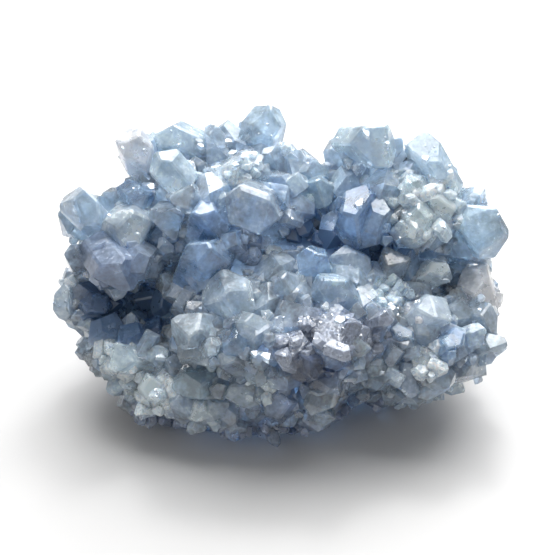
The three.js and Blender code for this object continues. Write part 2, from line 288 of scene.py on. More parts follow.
@dataclass(frozen=True)
class Celestite:
    """Clear to cloudy pale blue celestite. Colours are linear."""

    name: str
    clear_colour: Triple = (0.79, 0.88, 0.96)
    cloudy_colour: Triple = (0.71, 0.82, 0.95)
    white_colour: Triple = (0.82, 0.91, 1.0)
    absorbed_colour: Triple = (0.54, 0.68, 0.80)
    absorption: float = 50.0
    clear: float = 0.88
    cloudy: float = 0.5
    cloud_span: Pair = (0.1, 0.9)
    refraction: float = 1.62
    smooth: float = 0.08
    dull: float = 0.3
    scatter: float = 1.2 * MM
    cloud_size: float = 7 * MM
    cloud_detail: float = 3.0
    cloud_noise: Pair = (0.35, 0.65)
    cloud_depth: float = 0.3
    colour_stops: Triple = (0.15, 0.5, 0.95)
    grain_size: float = 1.2 * MM
    grain_detail: float = 2.0
    grain_depth: float = 0.16
    facet: float = 0.55 * MM
    frost_tilt: float = 0.9
    least_tilt: float = 0.03
    sparkle_noise: Pair = (0.52, 0.64)
    sparkle: float = 0.3
    coat: float = 0.4
    coat_roughness: float = 0.03
    shadow_colour: Triple = (0.9, 0.915, 0.95)
    shadow_share: float = 0.53

    def build(self) -> bpy.types.Material:
        """Make the material.

        Returns:
            The material.
        """
        nodes = Nodes(self.name)
        place = nodes.add("ShaderNodeTexCoord").outputs["Object"]
        veil = nodes.add("ShaderNodeAttribute", attribute_name="veil").outputs["Fac"]
        frost = nodes.add("ShaderNodeAttribute", attribute_name="frost").outputs["Fac"]
        tint = nodes.add("ShaderNodeAttribute", attribute_name="tint").outputs["Vector"]
        clouds = nodes.noise(place, self.cloud_size, self.cloud_detail)
        grains = nodes.noise(place, self.grain_size, self.grain_detail)
        cells = nodes.add("ShaderNodeTexVoronoi", Scale=1 / self.facet)
        nodes.link(place, cells.inputs["Vector"])
        waves = nodes.between(clouds, self.cloud_noise, (-self.cloud_depth, self.cloud_depth))
        specks = nodes.between(grains, NOISE_SPAN, (-self.grain_depth, self.grain_depth))
        cloud = nodes.maths("ADD", nodes.maths("ADD", waves, veil), specks)
        speckle = nodes.between(grains, self.sparkle_noise, (self.least_tilt, self.sparkle))
        tilt = nodes.maths("ADD", nodes.maths("MULTIPLY", frost, self.frost_tilt), speckle)
        # Painted light and shade: each tiny facet's colour is made brighter or darker at random, as if it
        # were turned to or from the light, more so where the faces are frosted.
        shade = nodes.maths("SUBTRACT", nodes.channel(cells.outputs["Color"]), 0.5)
        shade = nodes.maths("ADD", nodes.maths("MULTIPLY", shade, tilt), 1.0)
        colour = nodes.vectors("MULTIPLY", self.colours(nodes, cloud), tint)
        shader = nodes.add(
            "ShaderNodeBsdfPrincipled",
            IOR=self.refraction,
            Subsurface_Weight=1.0,
            Subsurface_Radius=(1.0, 1.0, 1.0),
            Subsurface_Scale=self.scatter,
            Coat_Weight=self.coat,
            Coat_Roughness=self.coat_roughness,
        )
        normal = nodes.tilted(cells.outputs["Color"], tilt)
        for source, name in (
            (nodes.scaled(colour, shade), "Base Color"),
            (nodes.between(cloud, self.cloud_span, (self.clear, self.cloudy)), "Transmission Weight"),
            (nodes.between(cloud, self.cloud_span, (self.smooth, self.dull)), "Roughness"),
            (normal, "Normal"),
            (normal, "Coat Normal"),
        ):
            nodes.link(source, shader.inputs[name])
        absorbing = nodes.add(
            "ShaderNodeVolumeAbsorption", Density=self.absorption, Color=(*self.absorbed_colour, 1)
        )
        nodes.link(absorbing.outputs["Volume"], nodes.output.inputs["Volume"])
        self.let_light_through(nodes, shader)
        return nodes.material

    def colours(self, nodes: Nodes, cloud: Socket) -> Socket:
        """The colour at each degree of cloudiness.

        Args:
            nodes: The material's nodes.
            cloud: How cloudy the crystal is.

        Returns:
            The colour.
        """
        node = nodes.add("ShaderNodeValToRGB")
        ramp = node.color_ramp.elements
        ramp.new(0.5)
        colours = (self.clear_colour, self.cloudy_colour, self.white_colour)
        for stop, position, colour in zip(ramp, self.colour_stops, colours):
            stop.position = position
            stop.color = (*colour, 1)
        nodes.link(cloud, node.inputs["Fac"])
        return node.outputs["Color"]

    def let_light_through(self, nodes: Nodes, shader: bpy.types.Node) -> None:
        """Let part of the lamps' light straight through, which a crystal would bend on its way.

        Args:
            nodes: The material's nodes.
            shader: How the crystal looks.
        """
        passing = nodes.add("ShaderNodeBsdfTransparent", Color=(*self.shadow_colour, 1))
        ray = nodes.add("ShaderNodeLightPath")
        mix = nodes.add("ShaderNodeMixShader")
        share = nodes.maths("MULTIPLY", ray.outputs["Is Shadow Ray"], self.shadow_share)
        nodes.link(share, mix.inputs["Fac"])
        nodes.link(shader.outputs["BSDF"], mix.inputs[1])
        nodes.link(passing.outputs["BSDF"], mix.inputs[2])
        nodes.link(mix.outputs["Shader"], nodes.output.inputs["Surface"])


@dataclass
class Studio:
    """The pale floor and the soft light."""

    floor_size: float = 3.0
    floor_gap: float = 0.02 * MM
    floor_colour: Triple = (0.505, 0.502, 0.499)
    floor_roughness: float = 0.6
    paper_size: float = 60 * MM
    paper_detail: float = 4.0
    paper_depth: float = 0.01
    panel_size: float = 0.9
    panel_power: float = 13.9
    panel_place: Triple = (0.08, 0.34, 0.6)
    lamp_size: float = 0.12
    lamp_power: float = 1.5
    fill_size: float = 0.5
    fill_power: float = 0.6
    fill_place: Triple = (-0.35, -0.5, 0.35)
    aim: Triple = (0, 0, 30 * MM)
    sky_strength: float = 0.37

    def build(self) -> None:
        """Add the floor, the light panel with a small bright lamp in it, a weak light and the sky."""
        self.build_floor()
        self.build_light("panel", self.panel_place, self.panel_size, self.panel_power)
        self.build_light("lamp", self.panel_place, self.lamp_size, self.lamp_power)
        self.build_light("fill", self.fill_place, self.fill_size, self.fill_power)
        self.build_sky()

    def build_floor(self) -> None:
        """Add the floor, a little below the cluster's lowest points."""
        deselect_all()
        bpy.ops.mesh.primitive_plane_add(size=self.floor_size, location=(0, 0, -self.floor_gap))
        floor = bpy.context.object
        floor.name = "floor"
        nodes = Nodes("floor_paper")
        shader = nodes.add("ShaderNodeBsdfPrincipled", Roughness=self.floor_roughness)
        place = nodes.add("ShaderNodeTexCoord").outputs["Object"]
        fibres = nodes.noise(place, self.paper_size, self.paper_detail)
        tone = nodes.between(fibres, NOISE_SPAN, (-self.paper_depth, self.paper_depth))
        colour = nodes.add("ShaderNodeCombineColor")
        for channel, level in zip(("Red", "Green", "Blue"), self.floor_colour):
            nodes.link(nodes.maths("ADD", tone, level), colour.inputs[channel])
        nodes.link(colour.outputs["Color"], shader.inputs["Base Color"])
        nodes.link(shader.outputs["BSDF"], nodes.output.inputs["Surface"])
        floor.data.materials.append(nodes.material)

    def build_light(self, name: str, place: Triple, size: float, power: float) -> None:
        """Add a square light that shines on the cluster.

        Args:
            name: The light's name.
            place: Where it hangs.
            size: Its width.
            power: Its power in watts.
        """
        light = bpy.data.lights.new(name, "AREA")
        light.shape = "SQUARE"
        light.size = size
        light.energy = power
        holder = bpy.data.objects.new(name, light)
        holder.location = place
        beam = Vector(self.aim) - Vector(place)
        holder.rotation_euler = beam.to_track_quat("-Z", "Y").to_euler()
        bpy.context.scene.collection.objects.link(holder)

    def build_sky(self) -> None:
        """Surround everything with white light."""
        world = bpy.data.worlds.new("sky")
        world.use_nodes = True
        background = world.node_tree.nodes["Background"]
        background.inputs["Color"].default_value = (1, 1, 1, 1)
        background.inputs["Strength"].default_value = self.sky_strength
        bpy.context.scene.world = world
        bpy.context.scene.view_settings.view_transform = "Standard"


@dataclass
class LargeCrystals:
    """The whole skin of the cluster with its large crystals."""

    surface: Surface
    finish: bpy.types.Material
    longest_edge: float = 2.2 * MM
    merge: float = 0.03 * MM
    flat: float = math.radians(1.0)
    smooth_angle: float = math.radians(12)
    veil: float = 0.35
    tint_edge: float = 1.6
    frost_edge: float = 1.4
    frost_most: float = 0.4
    dark_edge: float = 1.5
    dark_most: float = 0.7
    foot_top: float = 14 * MM
    foot_fade: float = 10 * MM

    def build(self) -> bpy.types.Object:
        """Copy the CAD solid and refine its faces, so that what is painted on it can vary.

        Returns:
            The piece.
        """
        piece = bpy.data.objects.new("large_crystals", bpy.data.objects[NODE].data.copy())
        piece.data.materials.clear()
        bpy.context.scene.collection.objects.link(piece)
        deselect_all()
        piece.select_set(True)
        bpy.context.view_layer.objects.active = piece
        bpy.ops.object.mode_set(mode="EDIT")
        bpy.ops.mesh.select_all(action="SELECT")
        bpy.ops.mesh.remove_doubles(threshold=self.merge)
        bpy.ops.mesh.dissolve_limited(angle_limit=self.flat)
        bpy.ops.mesh.quads_convert_to_tris(ngon_method="BEAUTY")
        bpy.ops.object.mode_set(mode="OBJECT")
        while self.split_long_edges(piece):
            pass
        bpy.ops.object.shade_smooth_by_angle(angle=self.smooth_angle)
        piece.data.materials.append(self.finish)
        self.paint(piece.data)
        piece.data.calc_loop_triangles()
        log.info("large_crystals: %d triangles", len(piece.data.loop_triangles))
        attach(piece, BODY)
        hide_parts(NODE)
        return piece

    def split_long_edges(self, piece: bpy.types.Object) -> bool:
        """Split each edge that is too long in two.

        Args:
            piece: The piece, in object mode.

        Returns:
            True if there were any.
        """
        mesh = piece.data
        places = corners_of(mesh)
        ends = np.empty(len(mesh.edges) * 2, np.int32)
        mesh.edges.foreach_get("vertices", ends)
        ends = ends.reshape(-1, 2)
        length = np.linalg.norm(places[ends[:, 0]] - places[ends[:, 1]], axis=1)
        long = length > self.longest_edge
        if not long.any():
            return False
        bpy.ops.object.mode_set(mode="EDIT")
        bpy.ops.mesh.select_mode(type="EDGE")
        bpy.ops.mesh.select_all(action="DESELECT")
        bpy.ops.object.mode_set(mode="OBJECT")
        mesh.edges.foreach_set("select", long)
        bpy.ops.object.mode_set(mode="EDIT")
        bpy.ops.mesh.subdivide(number_cuts=1)
        bpy.ops.mesh.select_all(action="SELECT")
        bpy.ops.mesh.quads_convert_to_tris(quad_method="SHORTEST_DIAGONAL", ngon_method="BEAUTY")
        bpy.ops.object.mode_set(mode="OBJECT")
        return True

    def paint(self, mesh: bpy.types.Mesh) -> None:
        """Write how cloudy and how rough the crystal is at each point, and its tint, which in the hollow,
        the cleft and a recess is painted shade.

        Args:
            mesh: The piece's mesh.
        """
        places = corners_of(mesh)
        tints = np.ones((len(places), 3))
        frosts, dark = np.zeros(len(places)), np.zeros(len(places))
        for middle, radius, patch in reversed(self.surface.patches):
            distance = np.linalg.norm(places - np.array(middle), axis=1) / radius
            share = np.clip(self.tint_edge - distance, 0, 1)[:, None]
            tints += (np.array(patch.tint.value) - tints) * share
            if patch.growth is Growth.FINE:
                frosts = np.maximum(frosts, np.clip(self.frost_edge - distance, 0, self.frost_most))
            if patch.growth is Growth.HOLLOW:
                dark = np.maximum(dark, np.clip(self.dark_edge - distance, 0, self.dark_most))
        low = np.clip((self.foot_top - places[:, 2]) / self.foot_fade, 0, 1)[:, None]
        tints += (np.array(Tint.SMOKY.value) - tints) * low
        write_looks(mesh, self.veil + frosts + dark, frosts, tints)


class Tint(Enum):
    """What a crystal's colour is multiplied by. Most tints are the crystal's own; the ones marked below are
    painted shade.
    """

    PALE = (1.0, 1.0, 1.0)
    WHITE = (1.0, 1.03, 1.05)
    MIST = (0.84, 0.91, 0.98)
    STEEL = (0.66, 0.79, 0.92)
    # A deeper blue of some crystals, and painted shade in the hollow.
    DEEP = (0.55, 0.69, 0.84)
    GREENISH = (0.90, 0.97, 0.98)
    ROSY = (1.20, 1.08, 1.04)
    SMOKY = (0.55, 0.60, 0.69)
    DUSTY = (0.46, 0.46, 0.50)
    # Painted shade in a dark recess low in the middle.
    MURKY = (0.32, 0.36, 0.47)
    # Painted shade in the hollow.
    SHADE = (0.38, 0.51, 0.67)
    # Painted shade, the darkest tint, for crystals in the hollow and the cleft.
    NIGHT = (0.17, 0.26, 0.40)


class Growth(Enum):
    """How the cluster's surface grew in one patch."""

    LARGE = "large clear crystals with a few small ones in the seams"
    MEDIUM = "crowded crystals of middling size"
    FINE = "small cloudy crystals with frosted faces"
    ROUGH = "grey crystals and broken grains at the foot"
    # The crystals here are tinted dark: painted shade.
    HOLLOW = "a few dark crystals in the hollow and the cleft"


@dataclass(frozen=True)
class Cover:
    """What grows over one kind of patch.

    Attributes:
        width: The least and the greatest width of a crystal.
        in_seams: The chance that one stands at a try in a narrow seam.
        in_dips: The same in a wide dip.
        on_faces: The same elsewhere.
        veil: How cloudy they are, least and most.
        frost: How rough their faces are, least and most.
        grains: The share of irregular grains among them.
        crowding: How near two may stand, as a share of their mean width.
    """

    width: Pair
    in_seams: float
    in_dips: float
    on_faces: float
    veil: Pair
    frost: Pair
    grains: float
    crowding: float


COVERS = {
    Growth.LARGE: Cover((2.0 * MM, 5.0 * MM), 0.35, 0.05, 0.0, (0.3, 0.8), (0.0, 0.1), 0.0, 0.8),
    Growth.MEDIUM: Cover((3.0 * MM, 7.0 * MM), 0.6, 0.32, 0.08, (0.1, 0.6), (0.0, 0.3), 0.0, 0.7),
    Growth.FINE: Cover((2.2 * MM, 5.0 * MM), 0.7, 0.35, 0.2, (0.3, 0.95), (0.1, 0.6), 0.0, 0.6),
    Growth.ROUGH: Cover((1.6 * MM, 3.8 * MM), 1.0, 0.8, 0.5, (0.2, 0.7), (0.05, 0.4), 0.5, 0.55),
    Growth.HOLLOW: Cover((2.8 * MM, 6.0 * MM), 0.3, 0.1, 0.03, (0.3, 0.8), (0.0, 0.2), 0.0, 0.7),
}


@dataclass(frozen=True)
class Patch:
    """A round patch of the surface, by where its middle shows in the picture and its radius in pixels."""

    across: float
    down: float
    radius: float
    growth: Growth
    tint: Tint


# Where two patches overlap, the one that is listed first counts.
PATCHES = tuple(
    Patch(across, down, radius, growth, tint)
    for growth, tint, places in (
        # The hollow and the cleft: dark tints that paint their shade.
        (Growth.HOLLOW, Tint.NIGHT, ((302, 233, 18), (318, 238, 24), (342, 247, 18), (375, 250, 22))),
        (Growth.HOLLOW, Tint.SHADE, ((125, 298, 20), (158, 303, 20))),
        (Growth.HOLLOW, Tint.NIGHT, ((100, 324, 20), (122, 334, 15), (96, 290, 19), (92, 308, 16))),
        (Growth.HOLLOW, Tint.NIGHT, ((108, 312, 22), (135, 328, 16), (156, 338, 15), (172, 332, 14))),
        (Growth.HOLLOW, Tint.SHADE, ((178, 335, 12),)),
        (Growth.HOLLOW, Tint.DEEP, ((140, 305, 40), (172, 320, 24))),
        (Growth.FINE, Tint.WHITE, ((240, 163, 22), (425, 202, 34))),
        (Growth.FINE, Tint.SMOKY, ((250, 243, 16),)),
        (Growth.FINE, Tint.DUSTY, ((330, 330, 26), (370, 335, 20), (290, 347, 20))),
        (Growth.FINE, Tint.ROSY, ((422, 315, 16),)),
        (Growth.FINE, Tint.WHITE, ((120, 352, 26), (150, 388, 28))),
        (Growth.FINE, Tint.PALE, ((68, 290, 18),)),
        (Growth.FINE, Tint.MIST, ((392, 292, 18),)),
        (Growth.FINE, Tint.SMOKY, ((345, 380, 14),)),
        # Painted shade in a recess.
        (Growth.MEDIUM, Tint.MURKY, ((318, 366, 22),)),
        (Growth.FINE, Tint.WHITE, ((262, 388, 16), (430, 360, 16))),
        (Growth.LARGE, Tint.WHITE, ((226, 300, 24),)),
        (Growth.LARGE, Tint.PALE, ((280, 285, 28),)),
        (Growth.LARGE, Tint.GREENISH, ((345, 268, 24),)),
        (Growth.LARGE, Tint.PALE, ((332, 300, 22),)),
        (Growth.LARGE, Tint.DEEP, ((203, 262, 30),)),
        (Growth.LARGE, Tint.GREENISH, ((200, 380, 20),)),
        (Growth.LARGE, Tint.SMOKY, ((283, 396, 22),)),
        (Growth.LARGE, Tint.STEEL, ((453, 343, 20),)),
        (Growth.LARGE, Tint.ROSY, ((482, 290, 22),)),
        (Growth.FINE, Tint.WHITE, ((445, 280, 24),)),
        (Growth.LARGE, Tint.SMOKY, ((108, 262, 34),)),
        (Growth.LARGE, Tint.STEEL, ((355, 222, 36), (262, 203, 28), (207, 220, 22))),
        (Growth.LARGE, Tint.GREENISH, ((76, 212, 24), (130, 225, 22), (320, 190, 20))),
    )
    for across, down, radius in places
)


@dataclass(frozen=True)
class Glint:
    """A small flat crystal end that turns to the lamp, by where it shows in the picture."""

    across: float
    down: float
    width: float


GLINTS = tuple(
    Glint(across, down, width * MM)
    for across, down, width in (
        (148, 176, 3.2), (152, 188, 2.4), (184, 226, 3.0), (200, 146, 2.2), (205, 157, 1.6), (228, 142, 3.0),
        (236, 165, 2.0), (270, 152, 1.6), (366, 134, 3.0), (370, 165, 2.4), (387, 143, 1.6), (396, 172, 1.6),
        (426, 160, 2.6), (328, 165, 2.0), (360, 204, 3.0), (443, 259, 1.8), (442, 280, 1.6), (480, 300, 3.0),
        (255, 355, 2.2), (266, 357, 2.4), (287, 378, 1.8), (250, 395, 3.0), (340, 322, 2.6), (352, 378, 2.4),
        (382, 373, 1.8), (317, 393, 2.0), (432, 356, 2.0), (160, 357, 2.6),
    )
)


@dataclass(frozen=True)
class Block:
    """A crystal that stands out in the photograph, by where its middle shows and how wide it is, in pixels.
    Those in the hollow and the cleft are tinted dark, as painted shade.

    Attributes:
        veil: How cloudy it is.
        near: How far its seat is from the surface towards the viewer, as a share of its width.
    """

    across: int
    down: int
    width: float
    tint: Tint
    veil: float
    near: float = -0.3


BLOCKS = tuple(
    Block(*row)
    for row in (
        # Left and top left.
        (84, 212, 50, Tint.PALE, 0.42, -0.15), (129, 225, 46, Tint.PALE, 0.6, 0.3),
        (136, 152, 36, Tint.ROSY, 0.8, -0.1), (137, 196, 28, Tint.STEEL, 0.3),
        (172, 172, 36, Tint.WHITE, 0.6, -0.1), (180, 144, 38, Tint.WHITE, 0.5, -0.2),
        (215, 140, 26, Tint.PALE, 0.45), (163, 240, 30, Tint.STEEL, 0.3), (206, 219, 34, Tint.STEEL, 0.35),
        (192, 205, 30, Tint.PALE, 0.35), (110, 260, 46, Tint.SMOKY, 0.5), (205, 262, 46, Tint.STEEL, 0.25),
        (249, 242, 26, Tint.SMOKY, 0.5), (70, 300, 32, Tint.PALE, 0.5),
        # In the hollow, tinted dark as painted shade.
        (118, 302, 34, Tint.SHADE, 0.9, -0.25), (146, 298, 30, Tint.SHADE, 0.95, -0.25),
        (168, 308, 30, Tint.SHADE, 0.9, -0.25), (134, 318, 26, Tint.SHADE, 0.9, -0.25),
        (104, 290, 24, Tint.SHADE, 0.9, -0.25), (150, 335, 24, Tint.NIGHT, 0.8, -0.25),
        (170, 338, 24, Tint.NIGHT, 0.8, -0.25), (96, 306, 26, Tint.NIGHT, 0.8, -0.25),
        # Middle and crown.
        # The first three, in the cleft, are tinted dark as painted shade.
        (316, 240, 24, Tint.NIGHT, 0.9), (342, 250, 22, Tint.NIGHT, 0.9), (374, 252, 22, Tint.NIGHT, 0.9),
        (258, 203, 50, Tint.PALE, 0.4), (263, 131, 40, Tint.WHITE, 0.45, -0.2),
        (318, 190, 34, Tint.GREENISH, 0.55), (316, 213, 26, Tint.STEEL, 0.2),
        (337, 152, 24, Tint.PALE, 0.4), (365, 147, 44, Tint.WHITE, 0.65, -0.1),
        (394, 148, 22, Tint.PALE, 0.4), (434, 168, 48, Tint.WHITE, 0.6, -0.1),
        (412, 190, 34, Tint.WHITE, 0.75), (440, 205, 36, Tint.WHITE, 0.75),
        (418, 222, 30, Tint.WHITE, 0.75), (130, 360, 30, Tint.WHITE, 0.8), (112, 345, 26, Tint.WHITE, 0.8),
        (155, 388, 28, Tint.WHITE, 0.8), (360, 218, 58, Tint.DEEP, 0.3), (478, 230, 50, Tint.GREENISH, 0.4),
        # The shelf.
        (232, 300, 54, Tint.PALE, 0.45), (202, 335, 40, Tint.PALE, 0.45), (237, 347, 34, Tint.STEEL, 0.35),
        (252, 328, 24, Tint.PALE, 0.4), (285, 285, 36, Tint.PALE, 0.4), (315, 267, 30, Tint.STEEL, 0.3),
        (348, 265, 36, Tint.MIST, 0.6), (336, 297, 34, Tint.MIST, 0.55), (390, 272, 30, Tint.PALE, 0.35),
        (405, 262, 30, Tint.STEEL, 0.5, 0.4), (432, 274, 32, Tint.PALE, 0.7, 0.5),
        (455, 274, 28, Tint.MIST, 0.6, 0.5),
        # Right and below.
        (478, 288, 38, Tint.ROSY, 0.8, -0.1), (478, 325, 36, Tint.PALE, 0.5),
        (425, 318, 36, Tint.PALE, 0.55), (448, 344, 34, Tint.STEEL, 0.35), (402, 337, 26, Tint.STEEL, 0.3),
        (198, 380, 42, Tint.GREENISH, 0.25), (200, 408, 30, Tint.PALE, 0.5),
        (248, 390, 42, Tint.PALE, 0.35), (280, 402, 36, Tint.SMOKY, 0.5), (378, 368, 26, Tint.WHITE, 0.3),
        # The first of these, in a recess low in the middle, is tinted dark as painted shade.
        (320, 398, 26, Tint.SMOKY, 0.5), (300, 360, 28, Tint.MURKY, 0.5),
    )
)


class Surface:
    """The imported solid's surface, to seat crystals on."""

    def __init__(self, node: bpy.types.Object, view: View) -> None:
        """Read the node's triangles.

        Args:
            node: The CAD node.
            view: The point of view that places are given from.
        """
        mesh = node.data
        mesh.calc_loop_triangles()
        corners = np.empty(len(mesh.loop_triangles) * 3, np.int32)
        mesh.loop_triangles.foreach_get("vertices", corners)
        self.places = corners_of(mesh)
        self.corners = corners.reshape(-1, 3)
        a, b, c = (self.places[self.corners[:, i]] for i in range(3))
        across = np.cross(b - a, c - a)
        size = np.linalg.norm(across, axis=1)
        self.areas = size / 2
        self.normals = across / np.maximum(size, 1e-18)[:, None]
        self.tree = BVHTree.FromPolygons(self.places.tolist(), self.corners.tolist())
        self.view = view
        self.patches = []
        for patch in PATCHES:
            hit = self.seen(patch.across, patch.down)
            if hit:
                self.patches.append((hit[0], patch.radius * view.metres_per_pixel, patch))

    def seen(self, across: float, down: float) -> tuple[Vector, Vector] | None:
        """The point and its outward normal that show at a place in the picture, or None off the cluster."""
        point, normal, _, _ = self.tree.ray_cast(self.view.eye, self.view.sight(across, down))
        return None if point is None else (point, normal)

    def patch_at(self, point: Vector) -> Patch | None:
        """The first patch that a point lies in, or None."""
        around = (patch for middle, radius, patch in self.patches if (point - middle).length < radius)
        return next(around, None)

    def scattered(self, count: int, chance: np.random.Generator) -> tuple[np.ndarray, np.ndarray]:
        """Points spread evenly over the surface.

        Args:
            count: How many.
            chance: The source of chance.

        Returns:
            The points and their outward normals.
        """
        face = chance.choice(len(self.areas), count, p=self.areas / self.areas.sum())
        u, v = chance.random((2, count, 1))
        flip = u + v > 1
        u, v = np.where(flip, 1 - u, u), np.where(flip, 1 - v, v)
        a, b, c = (self.places[self.corners[face, i]] for i in range(3))
        return a + u * (b - a) + v * (c - a), self.normals[face]


def hollowness(points: np.ndarray, normals: np.ndarray, reach: float) -> np.ndarray:
    """How far the surface round each point rises above its tangent plane.

    Args:
        points: Points spread evenly over the surface.
        normals: Their outward normals.
        reach: How far round each point to look.

    Returns:
        The mean rise as a share of the reach: over 0 in a seam, under 0 on an edge.
    """
    tree = KDTree(len(points))
    for number, point in enumerate(points):
        tree.insert(point, number)
    tree.balance()
    rise = np.zeros(len(points))
    for number, point in enumerate(points):
        near = [index for _, index, _ in tree.find_range(point, reach)]
        rise[number] = ((points[near] - point) @ normals[number]).mean() / reach
    return rise


def turned_about(lean: Vector, chance: np.random.Generator) -> Quaternion:
    """How a model is turned to stand along a direction, with its sides turned by chance."""
    return lean.to_track_quat("Z", "Y") @ Quaternion((0, 0, 1), chance.uniform(0, 2 * math.pi))


class Form(Enum):
    """The kinds of crystal that are modelled."""

    CRYSTAL = "a blocky crystal with a blunt tip"
    GRAIN = "an irregular grain"
    CHIP = "a small crystal with a flat end"
    BLOCK = "a large crystal with worn edges"


@dataclass
class CrystalForms:
    """Models of small crystals, one unit wide, each standing on the origin along +Z."""

    seed: int = 5
    kinds: int = 9
    root: float = 0.55
    tall: Pair = (0.8, 1.25)
    squat: Pair = (0.6, 1.1)
    thickness: Pair = (0.3, 0.48)
    sides: Pair = (0.37, 0.5)
    uneven: Pair = (0.9, 1.1)
    ends: Pair = (0.55, 0.75)
    gabled: float = 0.55
    gables: Pair = (0.5, 0.72)
    cut_off: float = 0.25
    cuts: Pair = (0.6, 0.85)
    grain_faces: int = 8
    grain_span: Pair = (0.3, 0.5)
    grain_low: float = -0.5
    chip_sides: tuple[int, ...] = (4, 5, 6)
    chip_uneven: Pair = (-0.3, 0.3)
    chip_span: Pair = (0.22, 0.5)
    chip_taper: float = 0.15
    bevel: float = 0.02
    wear: float = 0.04
    merge: float = 0.002
    cell: Triple = (8.359, 5.352, 6.866)

    def face_normal(self, h: float, k: float, l: float) -> Vector:
        """The outward normal of the face with these Miller indices, the first along the crystal."""
        a, b, c = self.cell
        return Vector((k / b, l / c, h / a)).normalized()

    def build(self) -> dict[Form, list[Model]]:
        """Model each kind.

        Returns:
            The models, by form.
        """
        chance = random.Random(self.seed)
        kinds = range(self.kinds)
        crystals = [self.model(self.crystal_planes(chance, self.tall), self.bevel) for _ in kinds]
        grains = [self.model(self.grain_planes(chance), 0.0) for _ in kinds]
        chips = [self.model(self.chip_planes(chance), 0.0) for _ in kinds]
        blocks = [self.model(self.crystal_planes(chance, self.squat), self.wear) for _ in kinds]
        return {Form.CRYSTAL: crystals, Form.GRAIN: grains, Form.CHIP: chips, Form.BLOCK: blocks}

    def crystal_planes(self, chance: random.Random, tall: Pair) -> Planes:
        """The faces of one blocky crystal.

        Args:
            chance: The source of chance.
            tall: The least and the greatest height.

        Returns:
            Its faces.
        """
        planes = []
        height = chance.uniform(*tall)
        thickness = chance.uniform(*self.thickness)
        for side in (1, -1):
            for other in (1, -1):
                planes.append((self.face_normal(0, side, other), chance.uniform(*self.sides)))
            planes.append((self.face_normal(0, 0, side), thickness * chance.uniform(*self.uneven)))
            planes.append((self.face_normal(2, side, 0), height * chance.uniform(*self.ends)))
            if chance.random() < self.gabled:
                planes.append((self.face_normal(1, 0, side), height * chance.uniform(*self.gables)))
        if chance.random() < self.cut_off:
            planes.append((Vector((0, 0, 1)), height * chance.uniform(*self.cuts)))
        return planes

    def grain_planes(self, chance: random.Random) -> Planes:
        """The faces of one irregular grain.

        Args:
            chance: The source of chance.

        Returns:
            Its faces.
        """
        planes = [(Vector(way), 0.5) for way in ((1, 0, 0), (-1, 0, 0), (0, 1, 0), (0, -1, 0), (0, 0, 1))]
        for _ in range(self.grain_faces):
            z = chance.uniform(self.grain_low, 1)
            turn = chance.uniform(0, 2 * math.pi)
            ring = math.sqrt(1 - z * z)
            normal = Vector((ring * math.cos(turn), ring * math.sin(turn), z))
            planes.append((normal, chance.uniform(*self.grain_span)))
        return planes

    def chip_planes(self, chance: random.Random) -> Planes:
        """The faces of one small crystal with a flat end, which is at the height of the origin.

        Args:
            chance: The source of chance.

        Returns:
            Its faces.
        """
        planes = [(Vector((0, 0, 1)), 0.0)]
        start = chance.uniform(0, 2 * math.pi)
        sides = chance.choice(self.chip_sides)
        for side in range(sides):
            turn = start + (side + chance.uniform(*self.chip_uneven)) * 2 * math.pi / sides
            normal = Vector((math.cos(turn), math.sin(turn), self.chip_taper))
            planes.append((normal, chance.uniform(*self.chip_span)))
        return planes

    def model(self, planes: Planes, bevel: float) -> Model:
        """Cut one crystal out of a block.

        Args:
            planes: Its faces.
            bevel: The width that its edges are worn by, or 0.

        Returns:
            The model.
        """
        deselect_all()
        bpy.ops.mesh.primitive_cube_add(size=2, location=(0, 0, 1 - self.root))
        bpy.ops.object.transform_apply(location=True)
        block = bpy.context.object
        bpy.ops.object.mode_set(mode="EDIT")
        for normal, distance in planes:
            bpy.ops.mesh.select_all(action="SELECT")
            bpy.ops.mesh.bisect(plane_co=normal * distance, plane_no=normal, use_fill=True, clear_outer=True)
        bpy.ops.mesh.select_all(action="SELECT")
        if bevel:
            bpy.ops.mesh.bevel(offset=bevel, segments=1, affect="EDGES")
        bpy.ops.mesh.select_all(action="SELECT")
        bpy.ops.mesh.remove_doubles(threshold=self.merge)
        bpy.ops.mesh.normals_make_consistent(inside=False)
        bpy.ops.object.mode_set(mode="OBJECT")
        corners = np.array([corner.co for corner in block.data.vertices])
        faces = [tuple(face.vertices) for face in block.data.polygons]
        bpy.data.objects.remove(block)
        return corners, faces


